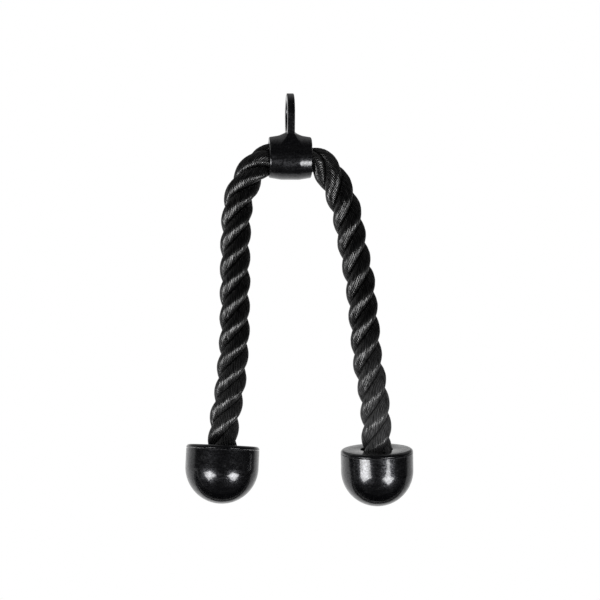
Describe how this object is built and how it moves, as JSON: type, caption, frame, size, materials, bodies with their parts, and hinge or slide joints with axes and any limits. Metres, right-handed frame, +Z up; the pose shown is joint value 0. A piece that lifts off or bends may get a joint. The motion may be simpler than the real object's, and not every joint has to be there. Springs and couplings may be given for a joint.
{
  "type": "triceps rope attachment",
  "caption": "Black laid rope drawn through a cast collar with a hanging eye, with a turning domed end cap on each hanging limb.",
  "frame": {"origin": "hang point: the inner top of the hanging eye's hole, where the machine's hook bears", "axes": "+Z up, X along the collar's bore, left limb on -X, the picture looks along +Y"},
  "size_m": [0.2108, 0.0758, 0.3807],
  "materials": {
    "collar_enamel": "gloss black enamel on a casting",
    "rope_fibre": "black three-strand laid synthetic rope",
    "cap_gloss": "hard moulded black plastic, glossy",
    "zinc_steel": "zinc-plated steel"
  },
  "bodies": {
    "collar": {"collar_casting": "collar_enamel"},
    "left_root": {"left_rope_root": "rope_fibre"},
    "left_limb": {"left_rope_limb": "rope_fibre", "left_ferrule": "zinc_steel", "left_washer": "zinc_steel"},
    "left_cap": {"left_cap_cup": "cap_gloss", "left_cap_lid": "cap_gloss"},
    "right_root": {"right_rope_root": "rope_fibre"},
    "right_limb": {"right_rope_limb": "rope_fibre", "right_ferrule": "zinc_steel", "right_washer": "zinc_steel"},
    "right_cap": {"right_cap_cup": "cap_gloss", "right_cap_lid": "cap_gloss"}
  },
  "joints": [
    {"name": "left_swing", "type": "hinge", "parent": "collar", "child": "left_root", "pos_m": [0, 0, -0.053], "axis": [1, 0, 0], "range_deg": [-90, 90]},
    {"name": "left_spread", "type": "hinge", "parent": "left_root", "child": "left_limb", "pos_m": [-0.0367, 0, -0.0672], "axis": [0, 1, 0], "range_deg": [-6, 60], "stiffness_Nm_per_rad": 2, "springref_deg": 1.43},
    {"name": "left_cap_spin", "type": "hinge", "parent": "left_limb", "child": "left_cap", "pos_m": [-0.0616, -0.0026, -0.3155], "axis": [-0.0508, -0.0951, -0.9942], "continuous": true},
    {"name": "right_swing", "type": "hinge", "parent": "collar", "child": "right_root", "pos_m": [0, 0, -0.053], "axis": [1, 0, 0], "range_deg": [-90, 90]},
    {"name": "right_spread", "type": "hinge", "parent": "right_root", "child": "right_limb", "pos_m": [0.0353, 0, -0.064], "axis": [0, -1, 0], "range_deg": [-6, 60], "stiffness_Nm_per_rad": 2, "springref_deg": 2.64},
    {"name": "right_cap_spin", "type": "hinge", "parent": "right_limb", "child": "right_cap", "pos_m": [0.0807, 0.0026, -0.3202], "axis": [0.0297, 0.0869, -0.9958], "continuous": true}
  ]
}
